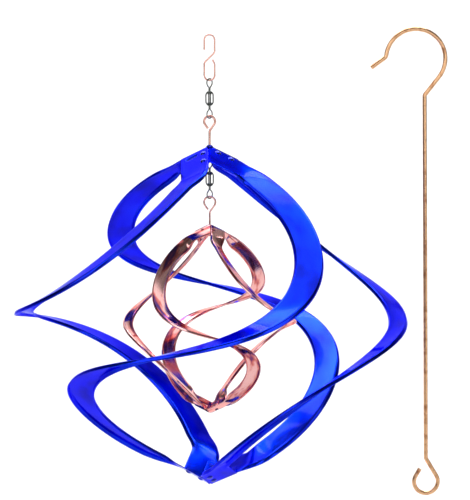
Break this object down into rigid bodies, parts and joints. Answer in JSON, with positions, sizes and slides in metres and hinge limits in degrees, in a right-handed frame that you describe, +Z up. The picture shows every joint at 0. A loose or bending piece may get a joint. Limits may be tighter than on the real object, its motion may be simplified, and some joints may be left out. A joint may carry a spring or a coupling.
{
  "type": "wind spinner",
  "caption": "Hanging wind spinner: a twisted-strip cage turns around a smaller cage wound the other way, on swivels under an S-hook, with a long hook-and-eye hanger rod.",
  "frame": {"origin": "inside of the S-hook's upper bend, where the support touches it", "axes": "+Z up along the spin axis, +X in the S-hook's plane towards the hanger rod"},
  "size_m": [0.41, 0.3556, 0.4683],
  "materials": {
    "blue_strip": "glossy transparent blue lacquer over bright steel",
    "blue_rivet": "glossy dark blue lacquer",
    "copper_strip": "polished copper plate with heat tint",
    "copper_rivet": "polished copper plate",
    "copper_wire": "bright copper plated steel wire",
    "nickel": "bright nickel",
    "black_nickel": "black nickel",
    "brass": "drawn brass"
  },
  "bodies": {
    "s_hook": {"s_hook": "copper_wire"},
    "upper_swivel_top_eye": {"upper_swivel_top_eye": "nickel"},
    "upper_swivel_cage": {"upper_swivel_cage": "black_nickel"},
    "upper_swivel_lower_eye": {"upper_swivel_lower_eye": "nickel"},
    "outer_spinner": {"main_eye_wire": "copper_wire", "hub_cap": "blue_strip", "hub_washer": "nickel", "hub_crimp_sleeve": "brass", "outer_strip_1": "blue_strip", "outer_strip_2": "blue_strip", "outer_strip_3": "blue_strip", "outer_strip_4": "blue_strip", "outer_top_rivets": "blue_rivet", "outer_bottom_rivets": "blue_rivet"},
    "lower_swivel_top_eye": {"lower_swivel_top_eye": "nickel"},
    "lower_swivel_cage": {"lower_swivel_cage": "black_nickel"},
    "lower_swivel_lower_eye": {"lower_swivel_lower_eye": "nickel"},
    "inner_spinner": {"inner_eye_wire": "copper_wire", "inner_crimp_bead": "copper_strip", "inner_strip_1": "copper_strip", "inner_strip_2": "copper_strip", "inner_strip_3": "copper_strip", "inner_strip_4": "copper_strip", "inner_top_rivets": "copper_rivet", "inner_bottom_rivets": "copper_rivet"},
    "hanger": {"hanger_rod": "copper_wire"}
  },
  "joints": [
    {"name": "hook_swing", "type": "hinge", "parent": "s_hook", "child": "upper_swivel_top_eye", "pos_m": [0, 0, -0.0396], "axis": [1, 0, 0], "range_deg": [-15, 15]},
    {"name": "upper_cage_spin", "type": "hinge", "parent": "upper_swivel_top_eye", "child": "upper_swivel_cage", "pos_m": [0, 0, -0.0556], "axis": [0, 0, 1], "continuous": true},
    {"name": "upper_eye_spin", "type": "hinge", "parent": "upper_swivel_cage", "child": "upper_swivel_lower_eye", "pos_m": [0, 0, -0.061], "axis": [0, 0, 1], "continuous": true},
    {"name": "outer_swing", "type": "hinge", "parent": "upper_swivel_lower_eye", "child": "outer_spinner", "pos_m": [0, 0, -0.0733], "axis": [0.6428, 0.766, 0], "range_deg": [-15, 15]},
    {"name": "lower_swivel_swing", "type": "hinge", "parent": "outer_spinner", "child": "lower_swivel_top_eye", "pos_m": [0, 0, -0.112], "axis": [1, 0, 0], "range_deg": [-15, 15]},
    {"name": "lower_cage_spin", "type": "hinge", "parent": "lower_swivel_top_eye", "child": "lower_swivel_cage", "pos_m": [0, 0, -0.1277], "axis": [0, 0, 1], "continuous": true},
    {"name": "lower_eye_spin", "type": "hinge", "parent": "lower_swivel_cage", "child": "lower_swivel_lower_eye", "pos_m": [0, 0, -0.133], "axis": [0, 0, 1], "continuous": true},
    {"name": "inner_swing", "type": "hinge", "parent": "lower_swivel_lower_eye", "child": "inner_spinner", "pos_m": [0, 0, -0.1454], "axis": [0.6428, 0.766, 0], "range_deg": [-15, 15]},
    {"name": "hanger_lift", "type": "slide", "parent": "s_hook", "child": "hanger", "axis": [0, 0, 1], "range_m": [0, 0.12]}
  ]
}
